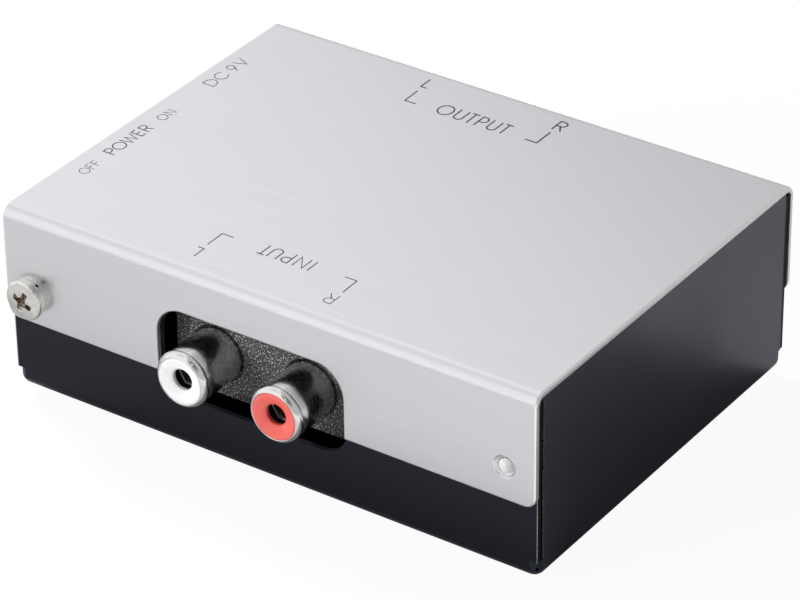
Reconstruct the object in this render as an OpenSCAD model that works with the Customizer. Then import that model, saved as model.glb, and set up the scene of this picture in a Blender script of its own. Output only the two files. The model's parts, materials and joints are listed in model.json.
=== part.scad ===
// Phono preamplifier for a record player: a folded aluminium cover on a black steel tray, with a pair
// of phono jacks at the front and at the rear, a ground terminal, a power lamp, a supply jack and a
// power switch. Millimetres, +Z up, +X to the right seen from the input side, which faces -Y.
// The origin is on the surface that the feet stand on, under the middle of the cover.

/* [Cover] */
// Width of the cover, left to right
cover_w = 90; // [88:1:104]
// Depth of the cover over its two flanges
cover_d = 67.2; // [66.4:0.4:80]
// Height of the case from the underside of the tray to the top of the cover
case_h = 30; // [29:0.5:34]
// Height of the flanges' lower edges above the underside of the tray
flange_z = 12; // [11:0.5:14]
// Thickness of the aluminium sheet
cover_t = 0.8; // [0.6:0.1:1]
// Outside radius of the two bends
cover_bend_r = 1.9; // [1.2:0.1:3]
// Radius of the flanges' lower corners
flange_corner_r = 1.9; // [1:0.1:3]

/* [Tray] */
// Thickness of the steel sheet
tray_t = 0.8; // [0.6:0.1:1]
// Outside radius of the four bends
tray_bend_r = 1.5; // [1.2:0.1:2]
// How far the tray's sides are set in from the cover's edges
side_reveal = 0.1; // [0.05:0.05:0.5]
// Gap between the front flange and the tray
front_gap = 0.15; // [0.1:0.05:0.3]
// Seam between the top of the cover and the side walls
top_gap = 0.15; // [0.05:0.05:0.3]
// Gap between the rear flange and the tray
rear_gap = 0.3; // [0.2:0.05:0.8]
// Height of the rubber feet
foot_h = 1.5; // [1:0.5:3]
// Radius of the rubber feet
foot_r = 4.5; // [3:0.5:6]

/* [Jack windows] */
// Centre of the windows, left to right
window_x = -2.15; // [-4:0.05:0]
// Width of the windows
window_w = 31.7; // [30:0.1:34]
// Lower edge of the tray's windows
window_bottom = 8.2; // [7.6:0.1:8.6]
// Upper edge of the windows
window_top = 22.95; // [22:0.05:24]
// Corner radius of the windows
window_r = 4.6; // [3:0.1:6]

/* [Phono jacks] */
// Middle of each pair of jacks, left to right
jack_x = -2.55; // [-4:0.05:-1]
// Distance between the two jacks of a pair
jack_pitch = 16; // [14:0.5:18]
// Height of the jacks' axes above the underside of the tray
jack_z = 15.3; // [14.5:0.1:16]
// How far the jacks' rims stand out of the flange
jack_reach = 4.4; // [3:0.1:6]
// Outside radius of the nickel shells
shell_r = 4.2; // [4.1:0.05:4.3]
// Radius of the coloured insulators in the rims
insert_r = 3.55; // [3.4:0.05:3.7]
// Radius of the hole for the plug's pin
pin_hole_r = 1.65; // [1.6:0.05:1.8]
// How far the jack blocks' faces lie behind the outside of the flange
block_back = 4.1; // [3.6:0.1:5]
// Width of the jack blocks
block_w = 30.2; // [28:0.2:34]
// Depth of the jack blocks
block_d = 10.5; // [10:0.5:12]

/* [Ground terminal and lamp] */
// Distance of the ground screw from the middle of the cover
ground_x = 40.4; // [39:0.1:40.6]
// Height of the ground screw above the underside of the tray
ground_z = 16.8; // [16:0.1:19]
// Distance of the lamp and of the rear screws from the middle of the cover
terminal_x = 40; // [38:0.5:40]
// Height of the lamp and of the rear screws above the underside of the tray
terminal_z = 17.3; // [16:0.1:19]
// Radius of the screws' heads
head_r = 3.1; // [2.6:0.1:3.2]
// Height of the screws' heads
head_h = 1.5; // [1.4:0.1:2]
// Radius of the lamp
lamp_r = 1.5; // [1.5:0.1:1.6]

/* [Supply side] */
// Place of the power switch, front to rear
switch_y = -9.2; // [-12:0.1:-8]
// Travel of the power switch
switch_travel = 2.5; // [2:0.1:2.8]
// Place of the supply jack, front to rear
dc_y = 14.7; // [13:0.1:16]
// Radius of the supply jack's opening
dc_bore_r = 3.15; // [2.9:0.05:3.3]
// Radius of the supply jack's centre pin
dc_pin_r = 1.05; // [1:0.05:1.25]

/* [Circuit board] */
// Height of the board's underside above the underside of the tray
board_z = 7.1; // [6.5:0.1:7.2]
// Thickness of the board
board_t = 1.6; // [1.2:0.2:1.6]

/* [Hidden] */
$fn = 64;

eps = 0.01;                                   // overlap that keeps a cut or a union clean

// Case
flange_y = cover_d/2;                         // outside of the flanges
wall_front_y = -flange_y + cover_t + front_gap;
wall_rear_y = flange_y - cover_t - rear_gap;
tray_y = (wall_front_y + wall_rear_y)/2;      // middle of the tray, front to rear
tray_d = wall_rear_y - wall_front_y;
tray_w = cover_w - 2*side_reveal;
wall_x = tray_w/2;                            // outside of the side walls
wall_top = case_h - cover_t - top_gap;
end_wall_top = case_h - cover_t - 0.7*(cover_bend_r - cover_t);   // the end walls clear the cover's bends
end_inset = 0.15;                             // the end walls stop short of the side walls' faces
corner_r = 1.7;                               // the tray's corners are closed and round up to corner_h
corner_h = tray_bend_r + 1.4;
corner_hole_r = 0.25;                         // left where the two bends of a corner meet
corner_hole_z = tray_bend_r;
front_seam = 0.5;                             // between the side walls and the front wall
rear_seam = 0.1;                              // between the side walls and the rear wall
seat_h = rear_gap;                            // raised seats under the rear screws
seat_r = 3.2;
foot_x = 36;
foot_y = 24.5;

// Jacks: depths are measured from the rim inwards
jack_rim_y = -flange_y - jack_reach;
block_y = -flange_y + block_back;
board_top = board_z + board_t;
block_h = 2*(jack_z - board_top);
rim_lip = 0.45;                               // thickness of the rolled rim
rim_round = 0.45;
shell_t = 0.5;
shell_reach = block_y - jack_rim_y;           // from the rim to the block's face
spigot_r = shell_r - 0.22;                    // pressed into the block
spigot_len = 4.5;
groove_r = shell_r + 0.3;                     // clearance round the shell in the block's face
groove_depth = 0.8;
dish_depth = 0.5;                             // the insulator's face slopes in to the pin hole
dish_r = pin_hole_r + 0.25;
lip_depth = dish_depth + 0.75;
cavity_r = 2.4;
insert_len = 9.5;
contact_apothem = pin_hole_r + 0.06;
contact_t = 0.22;
contact_depth = 2.2;
contact_end = shell_reach + block_d + 0.5;    // the contact's flange lies against the rear of the block
flange_r = 2.9;
jack_pins = [[-2.9, 4.0, board_top], [0, block_d + 0.7, jack_z - 1]];    // place from the axis, and top

// Fasteners
screw_r = 1.45;
thread_r = 1.5;
clear_r = 1.7;
flat_washer_t = 0.4;
flat_washer_r = 2.9;
lock_washer_t = 0.6;
lock_washer_r = 2.8;
head_seat_y = -flange_y - flat_washer_t - lock_washer_t;
ground_screw_len = 9;
nut_body_r = 2.1;
nut_waist_r = 2.75;
nut_shoulder_r = 3.3;
tag_t = 0.4;
tag_w = 4;
nut_len = tag_t + 1.8;
head_crown = 0.35;                            // height of the head's low dome
driver_w = 0.85;                              // cross recess
driver_l = 1.85;
driver_core_r = 0.8;
driver_turn = 25;
driver_depth = 1.3;

// Board
board_w = 85;
board_front_y = -27.2;
board_d = 54.4;
hole_x = 36.5;
hole_ys = [-21.5, 23.8];
standoff_r = 2.6;
lead_r = 0.3;

// Supply side
dc_w = 9;
dc_h = 10.8;
dc_len = 13.5;
dc_z = board_top + dc_h/2 + 0.9;
dc_collar_r = 3.95;
dc_bore_len = 9.5;
dc_pin_len = 8.2;
switch_len = 10;
switch_h = 5.8;
switch_deep = 5;
can_t = 0.3;
knob_y = 2.8;
knob_z = 2.6;
knob_tip_x = -wall_x - 1.2;
can_x = -wall_x + tray_t + 0.1;               // front of the switch's can
switch_z = board_top + switch_h/2;            // the can stands on the board

// ---------------------------------------------------------------- shared shapes

module in_case() { translate([0, 0, foot_h]) children(); }

// Outline of a folded channel: flat web at the bottom, two walls, round bends
module web_outline(w, h, r) {
    translate([-w/2, r]) square([w, h - r]);
    translate([-w/2 + r, 0]) square([w - 2*r, r + eps]);
    for (s = [-1, 1]) translate([s*(w/2 - r), r]) circle(r);
}
module channel_outline(w, h, t, r) {
    difference() {
        web_outline(w, h, r);
        translate([0, t]) web_outline(w - 2*t, h, r - t);
    }
}
module along_x(len) { rotate([90, 0, 90]) linear_extrude(len, center = true) children(); }
module along_y(len) { rotate([90, 0, 0]) linear_extrude(len, center = true) children(); }

// A solid turned about an axis along Y, its outline given as [radius, depth from the front]
module turned_y() { rotate([-90, 0, 0]) rotate_extrude() children(); }
module rod_y(r, len) { rotate([-90, 0, 0]) cylinder(r = r, h = len); }
module rod_x(r, len) { rotate([0, 90, 0]) cylinder(r = r, h = len); }
module block(low, high) { translate(low) cube(high - low); }

module round_rect(w, h, r) {
    square([w - 2*r, h], center = true);
    square([w, h - 2*r], center = true);
    for (x = [-1, 1], y = [-1, 1]) translate([x*(w/2 - r), y*(h/2 - r)]) circle(r);
}

// The window's outline; extra carries it down past the lower edge, as in a flange
module window_outline(bottom) {
    h = window_top - bottom;
    translate([window_x, bottom + h/2]) round_rect(window_w, h, window_r);
}

// Solder below the board, round a lead of radius r, with the axis of the lead at x = y = 0
module solder_cone(r = lead_r) {
    translate([0, 0, board_z - 0.8]) cylinder(r1 = r + 0.05, r2 = r + 0.55, h = 0.8, $fn = 24);
}
module lead(top) {
    translate([0, 0, board_z - 1.1]) cylinder(r = lead_r, h = top - board_z + 1.1, $fn = 24);
    solder_cone();
}

module to_rear(side) { mirror([0, side > 0 ? 1 : 0, 0]) children(); }

// Binding head: flat seat at y = 0, low dome towards -Y, with a cross recess
module binding_head() {
    round_r = 0.45;
    rim_h = head_h - head_crown;
    crown_r = (pow(head_r - round_r, 2) + pow(head_crown, 2))/(2*head_crown);
    difference() {
        turned_y() {
            translate([0, -rim_h]) square([head_r - round_r, rim_h]);
            translate([0, -rim_h + round_r]) square([head_r, rim_h - round_r]);
            translate([head_r - round_r, -rim_h + round_r]) circle(round_r);
            intersection() {
                translate([0, crown_r - head_h]) circle(crown_r, $fn = 360);
                translate([0, -head_h]) square([head_r - round_r, head_crown + eps]);
            }
        }
        translate([0, -head_h, 0]) rotate([0, driver_turn, 0]) intersection() {
            union() {
                block([-driver_w/2, -eps, -driver_l], [driver_w/2, driver_depth, driver_l]);
                block([-driver_l, -eps, -driver_w/2], [driver_l, driver_depth, driver_w/2]);
                translate([0, -eps, 0]) rod_y(driver_core_r, driver_depth - 0.2);
            }
            translate([0, -2*eps, 0]) rotate([-90, 0, 0])
                cylinder(r1 = driver_l, r2 = 0.7, h = driver_depth + 4*eps);
        }
    }
}

// ---------------------------------------------------------------- case

// The tray's lower part, filled: the bends run round its corners
module tub(w, d, r, bend) {
    along_x(w - 2*r) web_outline(d, corner_h, bend);
    along_y(d - 2*r) web_outline(w, corner_h, bend);
    for (x = [-1, 1], y = [-1, 1]) translate([x*(w/2 - r), y*(d/2 - r), 0]) rotate_extrude() intersection() {
        web_outline(2*r, corner_h, bend);
        square([r, corner_h]);
    }
}

module base_tray() in_case() color([0.09, 0.09, 0.10]) difference() {
    union() {
        // floor with closed corners
        translate([0, tray_y, 0]) difference() {
            tub(tray_w, tray_d, corner_r, tray_bend_r);
            translate([0, 0, tray_t]) tub(tray_w - 2*tray_t, tray_d - 2*tray_t, corner_r - tray_t, tray_bend_r - tray_t);
        }
        // walls above the corners: the side walls stop short of the end walls
        intersection() {
            union() {
                translate([0, tray_y, 0]) along_x(tray_w - 2*end_inset)
                    channel_outline(tray_d, end_wall_top, tray_t, tray_bend_r);
                translate([0, tray_y + (front_seam - rear_seam)/2, 0])
                    along_y(tray_d - 2*tray_t - front_seam - rear_seam)
                        channel_outline(tray_w, wall_top, tray_t, tray_bend_r);
            }
            block([-cover_w, -cover_d, corner_h - eps], [cover_w, cover_d, case_h]);
        }
        // raised seats that carry the rear flange
        for (s = [-1, 1]) translate([s*terminal_x, wall_rear_y - eps, terminal_z]) rod_y(seat_r, seat_h + eps);
        for (s = [-1, 1]) translate([s*terminal_x, wall_rear_y - tray_t - 1.2, terminal_z]) rod_y(2.3, 1.2 + eps);
    }
    for (y = [wall_front_y, wall_rear_y]) translate([0, y, 0]) along_y(4) window_outline(window_bottom);
    // ground nut and lamp at the front, tapped holes at the rear
    translate([-ground_x, wall_front_y - 1, ground_z]) rod_y(nut_body_r + 0.02, 3);
    translate([terminal_x, wall_front_y - 1, terminal_z]) rod_y(lamp_r + 0.6, 3);
    for (s = [-1, 1]) translate([s*terminal_x, wall_rear_y - 4, terminal_z]) rod_y(thread_r, 8);
    // supply jack and power switch in the left wall
    translate([-wall_x - 1, dc_y, dc_z]) rod_x(dc_collar_r + 0.15, 3);
    block([-wall_x - 1, switch_y - 3.2, switch_z - 1.8], [-wall_x + 2, switch_y + 3.2, switch_z + 1.8]);
    // small holes in the closed corners
    for (x = [-1, 1], y = [-1, 1])
        translate([x*(wall_x - corner_r), tray_y + y*(tray_d/2 - corner_r), corner_hole_z])
            rotate([0, 0, atan2(y, x)]) rod_x(corner_hole_r, corner_r + 1, $fn = 16);
    // standoffs are pressed into the floor
    for (x = [-hole_x, hole_x], y = hole_ys) translate([x, y, -1]) cylinder(r = 2.1, h = 3);
}

module flange_corners(y) {
    for (s = [-1, 1]) translate([s*(cover_w/2 - flange_corner_r), y, flange_z + flange_corner_r])
        rotate([90, 0, 0]) linear_extrude(6, center = true) difference() {
            translate([s > 0 ? 0 : -flange_corner_r - 1, -flange_corner_r - 1])
                square([flange_corner_r + 1, flange_corner_r + 1]);
            circle(flange_corner_r);
        }
}

module top_cover() in_case() color([0.80, 0.81, 0.82]) difference() {
    translate([0, 0, case_h]) mirror([0, 0, 1]) along_x(cover_w)
        channel_outline(cover_d, case_h - flange_z, cover_t, cover_bend_r);
    for (s = [-1, 1]) {
        translate([0, s*flange_y, 0]) along_y(4) window_outline(window_bottom - 6);
        flange_corners(s*flange_y);
        translate([s*terminal_x, flange_y - 3, terminal_z]) rod_y(clear_r, 6);
    }
    translate([-ground_x, -flange_y - 3, ground_z]) rod_y(clear_r, 6);
    translate([terminal_x, -flange_y - 3, terminal_z]) rod_y(lamp_r + 0.08, 6);
}

module rubber_feet() color([0.07, 0.07, 0.07])
    for (x = [-foot_x, foot_x], y = [-foot_y, foot_y]) translate([x, y, 0]) rotate_extrude() {
        square([foot_r - 0.5, foot_h]);
        translate([0, 0.5]) square([foot_r, foot_h - 0.5]);
        translate([foot_r - 0.5, 0.5]) circle(0.5);
    }

module cover_screws() in_case() color([0.78, 0.76, 0.72])
    for (s = [-1, 1]) translate([s*terminal_x, flange_y, terminal_z]) mirror([0, 1, 0]) {
        binding_head();
        translate([0, -eps, 0]) rod_y(screw_r, cover_t + rear_gap + tray_t + 1.5);
    }

// ---------------------------------------------------------------- ground terminal

module ground_screw() in_case() color([0.78, 0.76, 0.72])
    translate([-ground_x, head_seat_y, ground_z]) {
        binding_head();
        translate([0, -eps, 0]) rod_y(screw_r, ground_screw_len);
    }

// Split ring: its two ends stand slightly apart along the screw
module ground_lock_washer() in_case() color([0.74, 0.73, 0.70])
    translate([-ground_x, -flange_y - flat_washer_t - lock_washer_t, ground_z]) difference() {
        rod_y(lock_washer_r, lock_washer_t);
        translate([0, -1, 0]) rod_y(screw_r + 0.06, 4);
        rotate([0, 35, 0]) rotate([0, 0, 12]) block([-0.25, -1, 0], [0.25, 3, 4]);
    }

module ground_flat_washer() in_case() color([0.80, 0.79, 0.77])
    translate([-ground_x, -flange_y - flat_washer_t, ground_z]) difference() {
        rod_y(flat_washer_r, flat_washer_t);
        translate([0, -1, 0]) rod_y(screw_r + 0.06, 3);
    }

module ground_nut() in_case() color([0.72, 0.70, 0.64])
    translate([-ground_x, wall_front_y, ground_z]) difference() {
        union() {
            translate([0, -front_gap, 0]) rod_y(nut_body_r, front_gap + tray_t + eps);
            translate([0, tray_t, 0]) rod_y(nut_waist_r, tag_t + eps);
            translate([0, tray_t + tag_t, 0]) rod_y(nut_shoulder_r, nut_len - tag_t);
        }
        translate([0, -1, 0]) rod_y(thread_r, nut_len + 4);
    }

// Brass tag from the nut down to the board, folded over its front edge
module ground_tag() in_case() color([0.80, 0.66, 0.36])
    translate([-ground_x, wall_front_y + tray_t, 0]) {
        foot_y0 = board_front_y + 2.4 - wall_front_y - tray_t;
        difference() {
            union() {
                translate([0, 0, ground_z]) rod_y(nut_waist_r + 0.9, tag_t);
                block([-tag_w/2, 0, board_top + 1], [tag_w/2, tag_t, ground_z]);
            }
            translate([0, -1, ground_z]) rod_y(nut_waist_r + 0.02, 3);
        }
        translate([0, 1, board_top + 1]) intersection() {
            rotate([0, 90, 0]) difference() {
                cylinder(r = 1, h = tag_w, center = true);
                cylinder(r = 1 - tag_t, h = tag_w + 2, center = true);
            }
            block([-tag_w, -2, -2], [tag_w, eps, eps]);
        }
        block([-tag_w/2, 1, board_top], [tag_w/2, foot_y0, board_top + tag_t]);
        translate([0, foot_y0 - 0.25, 0]) {
            block([-0.55, -0.2, board_z - 1.1], [0.55, 0.2, board_top + eps]);
            solder_cone(0.55);
        }
    }

// ---------------------------------------------------------------- power lamp

lamp_base_y = -flange_y + 4.6;
lamp_lead_y = lamp_base_y + 3.2;
lamp_lead_dx = 1.27;

module lamp_lens() in_case() color([0.93, 0.95, 0.97])
    translate([terminal_x, -flange_y - 0.25, terminal_z]) {
        len = lamp_base_y + flange_y + 0.25;
        turned_y() intersection() {
            union() {
                translate([0, lamp_r]) circle(lamp_r);
                translate([0, lamp_r]) square([lamp_r, len - lamp_r]);
            }
            square([2*lamp_r, len]);
        }
        translate([0, len - 1, 0]) rod_y(lamp_r + 0.4, 1);
    }

module lamp_leads() in_case() color([0.75, 0.75, 0.74])
    for (s = [-1, 1]) translate([terminal_x + s*lamp_lead_dx, 0, 0]) {
        translate([0, lamp_base_y, terminal_z]) rod_y(lead_r, lamp_lead_y - lamp_base_y);
        translate([0, lamp_lead_y, terminal_z]) sphere(lead_r);
        translate([0, lamp_lead_y, 0]) lead(terminal_z);
    }

// ---------------------------------------------------------------- phono jacks

jack_xs = [jack_x - jack_pitch/2, jack_x + jack_pitch/2];

// Moulded block that carries a pair of shells; side is -1 for the input and 1 for the output
module jack_block(side) in_case() color([0.12, 0.12, 0.12]) to_rear(side) difference() {
    union() {
        difference() {
            block([jack_x - block_w/2, block_y, board_top],
                  [jack_x + block_w/2, block_y + block_d, board_top + block_h]);
            // the face's upper edge is broken, and the rear is stepped down behind the shells
            translate([jack_x, block_y, board_top + block_h]) rotate([45, 0, 0])
                cube([block_w + 1, 0.7, 0.7], center = true);
            block([jack_x - block_w/2 - 1, block_y + block_d - 2, board_top + block_h - 2.5],
                  [jack_x + block_w/2 + 1, block_y + block_d + 1, board_top + block_h + 1]);
        }
        // locating pegs in the board
        for (x = [-1, 1]) translate([jack_x + x*(block_w/2 - 2), block_y + 5, board_z + 0.2])
            cylinder(r = 0.8, h = board_t);
    }
    for (x = jack_xs) translate([x, block_y, jack_z]) {
        translate([0, -1, 0]) rod_y(groove_r, 1 + groove_depth);
        translate([0, -1, 0]) rod_y(spigot_r + 0.02, 1 + spigot_len);
        rod_y(cavity_r, block_d + 1);
    }
}

// Nickel shell with a rolled rim that holds the insulator
module jack_shell(side, x) in_case() color([0.80, 0.79, 0.76]) to_rear(side)
    translate([x, jack_rim_y, jack_z]) turned_y() difference() {
        union() {
            square([shell_r - rim_round, shell_reach]);
            translate([0, rim_round]) square([shell_r, shell_reach + 0.1 - rim_round]);
            translate([shell_r - rim_round, rim_round]) circle(rim_round);
            square([spigot_r, shell_reach + spigot_len]);
        }
        translate([-1, -1]) square([1 + insert_r + 0.03, rim_lip + 2]);
        translate([-1, rim_lip]) square([1 + shell_r - shell_t, shell_reach + spigot_len]);
    }

// Coloured insulator: dished face, short pin hole, open behind for the contact
module jack_insert(side, x, tint) in_case() color(tint) to_rear(side)
    translate([x, jack_rim_y, jack_z]) turned_y() difference() {
        union() {
            translate([0, 0.06]) square([insert_r, rim_lip + 0.1]);
            translate([0, rim_lip]) square([shell_r - shell_t - 0.02, insert_len - rim_lip]);
        }
        polygon([[-1, -1], [insert_r - 0.25, -1], [insert_r - 0.25, 0.06], [dish_r, dish_depth],
                 [pin_hole_r, dish_depth + 0.2], [-1, dish_depth + 0.2]]);
        square([pin_hole_r, 3]);
        translate([0, lip_depth]) square([cavity_r, insert_len]);
    }

// Six-sided spring sleeve that grips the plug's pin, closed at the rear by a round flange
module jack_contact(side, x) in_case() color([0.82, 0.80, 0.74]) to_rear(side)
    translate([x, jack_rim_y, jack_z]) rotate([-90, 0, 0]) difference() {
        union() {
            translate([0, 0, contact_depth])
                cylinder(r = (contact_apothem + contact_t)/cos(30), h = contact_end - contact_depth, $fn = 6);
            translate([0, 0, contact_end - 0.5]) cylinder(r = flange_r, h = 0.5);
        }
        cylinder(r = contact_apothem/cos(30), h = contact_end - 0.5, $fn = 6);
        block([-0.25, -4, 0], [0.25, 0, contact_end - 4]);
    }

// Flat pins from the shells and the contacts down through the board
module jack_terminals(side) in_case() color([0.78, 0.77, 0.73]) to_rear(side)
    for (x = jack_xs, p = jack_pins) translate([x + p[0], block_y + p[1], 0]) {
        block([-0.5, -0.2, board_z - 1.1], [0.5, 0.2, p[2]]);
        solder_cone(0.5);
    }

module input_jack_block() jack_block(-1);
module input_left_shell() jack_shell(-1, jack_xs[0]);
module input_right_shell() jack_shell(-1, jack_xs[1]);
module input_left_insert() jack_insert(-1, jack_xs[0], [0.95, 0.95, 0.94]);
module input_right_insert() jack_insert(-1, jack_xs[1], [0.85, 0.25, 0.22]);
module input_left_contact() jack_contact(-1, jack_xs[0]);
module input_right_contact() jack_contact(-1, jack_xs[1]);
module input_jack_terminals() jack_terminals(-1);
module output_jack_block() jack_block(1);
module output_left_shell() jack_shell(1, jack_xs[0]);
module output_right_shell() jack_shell(1, jack_xs[1]);
module output_left_insert() jack_insert(1, jack_xs[0], [0.95, 0.95, 0.94]);
module output_right_insert() jack_insert(1, jack_xs[1], [0.85, 0.25, 0.22]);
module output_left_contact() jack_contact(1, jack_xs[0]);
module output_right_contact() jack_contact(1, jack_xs[1]);
module output_jack_terminals() jack_terminals(1);

// ---------------------------------------------------------------- supply jack

dc_face_x = -wall_x + tray_t + 0.1;

module dc_jack_body() in_case() color([0.11, 0.11, 0.11]) difference() {
    union() {
        block([dc_face_x, dc_y - dc_w/2, board_top], [dc_face_x + dc_len, dc_y + dc_w/2, dc_z + dc_h/2 - 0.9]);
        translate([-wall_x + 0.1, dc_y, dc_z]) rod_x(dc_collar_r, 2);
    }
    translate([-wall_x - 1, dc_y, dc_z]) rod_x(dc_bore_r, 1.1 + dc_bore_len);
    translate([-wall_x + dc_bore_len, dc_y, dc_z]) rod_x(dc_pin_r + 0.02, 2.4);
    // slot for the side spring
    block([-wall_x + 4, dc_y + dc_bore_r - 0.9, dc_z - 1.3], [dc_face_x + dc_len - 1.5, dc_y + dc_bore_r + 0.7, dc_z + 1.3]);
    // rear of the body is cut back for the terminals
    block([dc_face_x + dc_len - 1.2, dc_y - dc_w, board_top - 1], [dc_face_x + dc_len + 1, dc_y + dc_w, board_top + 6]);
}

module dc_jack_pin() in_case() color([0.80, 0.79, 0.76]) translate([-wall_x + dc_bore_len + 2.4, dc_y, dc_z]) {
    rotate([0, -90, 0]) {
        cylinder(r = dc_pin_r, h = dc_pin_len + 2.4 - dc_pin_r);
        translate([0, 0, dc_pin_len + 2.4 - dc_pin_r]) sphere(dc_pin_r);
    }
}

module dc_jack_spring() in_case() color([0.79, 0.78, 0.74]) {
    spring_y = dc_y + dc_bore_r - 0.1;
    block([-wall_x + 4.3, spring_y, dc_z - 1.1], [dc_face_x + dc_len - 1.5, spring_y + 0.3, dc_z + 1.1]);
    translate([-wall_x + 6, spring_y, dc_z]) intersection() {
        translate([0, 1.1, 0]) cylinder(r = 1.5, h = 2.2, center = true);
        block([-2, -0.5, -2], [2, 0.1, 2]);
    }
}

// Blades at the cut-back rear of the body, and one beside it
module dc_jack_terminals() in_case() color([0.78, 0.77, 0.73])
    for (p = [[dc_face_x + dc_len - 1.0, 0], [dc_face_x + dc_len - 6, -dc_w/2 - 0.2], [dc_face_x + dc_len - 6, dc_w/2 + 0.2]])
        translate([p[0], dc_y + p[1], 0]) {
            wide = p[1] == 0 ? [0.2, 1.1] : [1.1, 0.2];
            block([-wide[0], -wide[1], board_top], [wide[0], wide[1], board_top + 5.5]);
            block([-wide[0]/2 - 0.1, -wide[1]/2 - 0.1, board_z - 1.1], [wide[0]/2 + 0.1, wide[1]/2 + 0.1, board_top + eps]);
            solder_cone(0.6);
        }

// ---------------------------------------------------------------- power switch

can_deep = switch_deep;
slot_len = knob_y + switch_travel + 0.4;
carriage_y = 6.4;
carriage_x = 1.5;

// Folded nickel can, open towards the board side at its back
module switch_frame() in_case() color([0.76, 0.75, 0.72])
    translate([can_x, switch_y, switch_z]) difference() {
        block([0, -switch_len/2, -switch_h/2], [can_deep, switch_len/2, switch_h/2]);
        block([can_t, -switch_len/2 + can_t, -switch_h/2 + can_t],
              [can_deep + 1, switch_len/2 - can_t, switch_h/2 - can_t]);
        block([-1, -slot_len/2, -knob_z/2 - 0.2], [1, slot_len/2, knob_z/2 + 0.2]);
    }

module switch_base() in_case() color([0.35, 0.22, 0.13])
    translate([can_x, switch_y, switch_z])
        block([can_t + carriage_x + 0.3, -switch_len/2 + can_t + 0.03, -switch_h/2 + can_t + 0.03],
              [can_deep + 0.6, switch_len/2 - can_t - 0.03, switch_h/2 - can_t - 0.03]);

// Knob at the OFF end of its travel, towards the front
module switch_slider() in_case() color([0.10, 0.10, 0.10])
    translate([can_x, switch_y - switch_travel/2, switch_z]) {
        tip = knob_tip_x - can_x;
        difference() {
            block([tip, -knob_y/2, -knob_z/2], [can_t + 0.3, knob_y/2, knob_z/2]);
            for (k = [-1, 0, 1]) translate([tip, k*0.8, 0]) rotate([0, 0, 45])
                cube([0.35, 0.35, 10], center = true);
        }
        block([can_t + 0.12, -carriage_y/2, -switch_h/2 + can_t + 0.15],
              [can_t + 0.12 + carriage_x, carriage_y/2, switch_h/2 - can_t - 0.15]);
    }

module switch_terminals() in_case() color([0.78, 0.77, 0.73])
    for (k = [-1, 0, 1]) translate([can_x + can_deep + 0.6, switch_y + k*2.5, 0]) {
        block([0, -0.4, switch_z - 0.3], [1.2, 0.4, switch_z]);
        block([0.9, -0.4, board_z - 1.1], [1.2, 0.4, switch_z]);
        translate([1.05, 0, 0]) solder_cone(0.45);
    }

// ---------------------------------------------------------------- circuit board and its parts

chip_at = [[-9, 0], [9, 0]];
chip_pins = [for (p = chip_at, k = [-1.5:1:1.5], r = [-1, 1]) [p[0] + k*2.54, p[1] + r*3.81, r]];
big_caps = [[-24, 3.5, 5, 15], [-24, -8, 5, 15]];
small_caps = [for (p = [[23, -9], [23, 0], [23, 9], [31, -5], [31, 5], [-24, 14.5]]) [p[0], p[1], 3.15, 11]];
all_caps = concat(big_caps, small_caps);
film_at = [[-1.7, -11.5], [1.7, -11.5], [-1.7, 11.5], [1.7, 11.5], [-17.5, 0], [17.5, 0]];
film_pitch = 4;
resistor_at = [for (x = [-9, 9], y = [-14, -11, -8, 8, 11, 14]) [x, y]];
resistor_r = 1.15;
resistor_len = 6.3;
regulator_at = [-32, -1];
regulator_pitch = 1.27;
diode_at = [-34.5, 5.5];
axial_span = 10.16;                           // between the bent leads of resistors and diode
axial_at = concat([for (p = resistor_at) [p[0], p[1], resistor_r, resistor_len]], [[diode_at[0], diode_at[1], 1.35, 5.2]]);
upright_leads = concat(
    [for (c = all_caps, e = [-1, 1]) [c[0] + e*c[2]/2, c[1], 0]],
    [for (p = film_at, e = [-1, 1]) [p[0], p[1] + e*film_pitch/2, 0.4]],
    [for (k = [-1, 0, 1]) [regulator_at[0] + k*regulator_pitch, regulator_at[1], 2.5]]);

module board_holes(points, r) {
    for (p = points) translate([p[0], p[1], board_z - 1]) cylinder(r = r, h = board_t + 2, $fn = 24);
}

module circuit_board() in_case() color([0.10, 0.28, 0.17]) difference() {
    block([-board_w/2, board_front_y, board_z], [board_w/2, board_front_y + board_d, board_top]);
    board_holes([for (x = [-hole_x, hole_x], y = hole_ys) [x, y]], clear_r);
    // corners nipped to clear the tray's bends
    for (x = [-1, 1], y = [board_front_y, board_front_y + board_d]) translate([x*board_w/2, y, board_z - 1])
        rotate([0, 0, 45]) translate([-1.2, -1.2, 0]) cube([2.4, 2.4, 4]);
    // holes for the jack blocks' pegs and terminals
    for (side = [-1, 1]) to_rear(side) {
        board_holes([for (x = [-1, 1]) [jack_x + x*(block_w/2 - 2), block_y + 5]], 0.9);
        board_holes([for (x = jack_xs, p = jack_pins) [x + p[0], block_y + p[1]]], 0.65);
    }
    board_holes([for (e = [-1, 1]) [terminal_x + e*lamp_lead_dx, lamp_lead_y]], lead_r + 0.1);
    board_holes([[-ground_x, board_front_y + 2.15]], 0.75);
    board_holes([for (k = [-1, 0, 1]) [can_x + can_deep + 1.65, switch_y + k*2.5]], 0.55);
    board_holes([[dc_face_x + dc_len - 1, dc_y], [dc_face_x + dc_len - 6, dc_y - dc_w/2 - 0.2],
                 [dc_face_x + dc_len - 6, dc_y + dc_w/2 + 0.2]], 0.75);
    board_holes(upright_leads, lead_r + 0.1);
    board_holes([for (a = axial_at, e = [-1, 1]) [a[0] + e*axial_span/2, a[1]]], lead_r + 0.1);
    board_holes(chip_pins, 0.4);
}

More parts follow.
